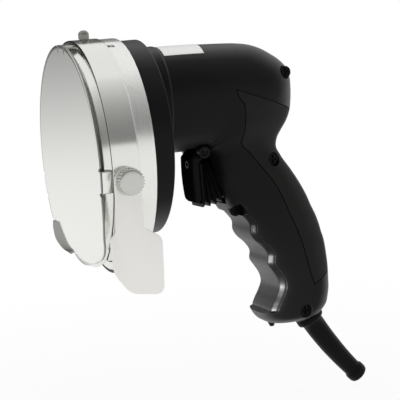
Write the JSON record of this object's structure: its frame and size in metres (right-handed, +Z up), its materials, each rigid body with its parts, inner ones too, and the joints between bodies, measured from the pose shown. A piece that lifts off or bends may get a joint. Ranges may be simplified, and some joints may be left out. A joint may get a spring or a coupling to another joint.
{
  "type": "electric kebab slicer",
  "caption": "Hand-held electric slicer with a pistol grip and trigger: a geared motor turns a round dished blade behind a flat guide plate that slides to set the slice thickness.",
  "frame": {"origin": "on the blade axis, at the front face of the guide plate in its thinnest-slice setting", "axes": "+X runs back along the blade axis towards the motor, +Z up with the grip hanging down, -Y is the side with the clamp knob and deflector"},
  "size_m": [0.1383, 0.1171, 0.1808],
  "materials": {
    "stainless": "brushed",
    "blade_steel": "ground",
    "casting": "satin",
    "steel": "turned",
    "black_plastic": "satin moulded",
    "strap_plastic": "matt moulded",
    "trigger_plastic": "satin moulded",
    "rubber": "matt",
    "copper": "lacquered wire",
    "laminations": "stacked sheet",
    "carbon": "pressed carbon",
    "brass": "bright"
  },
  "bodies": {
    "housing": {"housing_left": "black_plastic", "housing_right": "black_plastic", "back_strap": "strap_plastic", "flange": "black_plastic", "gear_case": "casting", "guard_ring": "stainless", "stator": "laminations", "field_coil_left": "copper", "field_coil_right": "copper", "brush_holder_left": "brass", "brush_holder_right": "brass", "carbon_brush_left": "carbon", "carbon_brush_right": "carbon", "armature_front_bearing": "steel", "armature_rear_bearing": "steel", "spindle_front_bearing": "steel", "spindle_rear_bearing": "steel", "switch_body": "trigger_plastic", "housing_screw_rear": "steel", "strap_screw": "steel", "housing_screw_front": "steel", "housing_screw_low": "steel", "flange_screw_1": "steel", "flange_screw_2": "steel", "flange_screw_3": "steel", "flange_screw_4": "steel", "trigger_pin": "steel", "cord_sleeve": "rubber", "guide_pin_top": "steel", "guide_pin_far": "steel", "clamp_nut": "steel", "grip_foot": "black_plastic"},
    "blade_unit": {"blade": "blade_steel", "blade_nut": "steel", "spindle": "steel", "driven_gear": "steel"},
    "armature": {"armature_shaft": "steel", "armature_core": "laminations", "armature_winding": "copper", "commutator": "copper", "fan": "black_plastic", "pinion": "steel"},
    "trigger_unit": {"trigger": "trigger_plastic", "trigger_boot": "rubber"},
    "plunger": {"switch_plunger": "trigger_plastic"},
    "knob": {"clamp_knob": "steel"},
    "deflector": {"deflector": "stainless"},
    "guide": {"guide_plate": "stainless"}
  },
  "joints": [
    {"name": "blade_spin", "type": "hinge", "parent": "housing", "child": "blade_unit", "pos_m": [0, 0, 0], "axis": [1, 0, 0], "continuous": true},
    {"name": "armature_spin", "type": "hinge", "parent": "housing", "child": "armature", "pos_m": [0, 0, 0.0225], "axis": [1, 0, 0], "continuous": true},
    {"name": "trigger_pull", "type": "hinge", "parent": "housing", "child": "trigger_unit", "pos_m": [0.061, 0, -0.0026], "axis": [0, -1, 0], "range_deg": [0, 9], "stiffness_Nm_per_rad": 0.6, "springref_deg": -2.86},
    {"name": "plunger_slide", "type": "slide", "parent": "housing", "child": "plunger", "axis": [1, 0, 0], "range_m": [0, 0.002]},
    {"name": "knob_turn", "type": "hinge", "parent": "housing", "child": "knob", "pos_m": [0.0112, 0, -0.00761], "axis": [0, -1, 0], "range_deg": [0, 720]},
    {"name": "deflector_swing", "type": "hinge", "parent": "housing", "child": "deflector", "pos_m": [0.0112, 0, -0.00761], "axis": [0, -1, 0], "range_deg": [-60, 60]},
    {"name": "guide_slide", "type": "slide", "parent": "housing", "child": "guide", "axis": [-1, 0, 0], "range_m": [0, 0.003]}
  ],
  "couplings": [
    {"joint": "armature_spin", "follows": "blade_spin", "ratio": -3.5},
    {"joint": "plunger_slide", "follows": "trigger_pull", "m_per_rad": 0.0115}
  ]
}
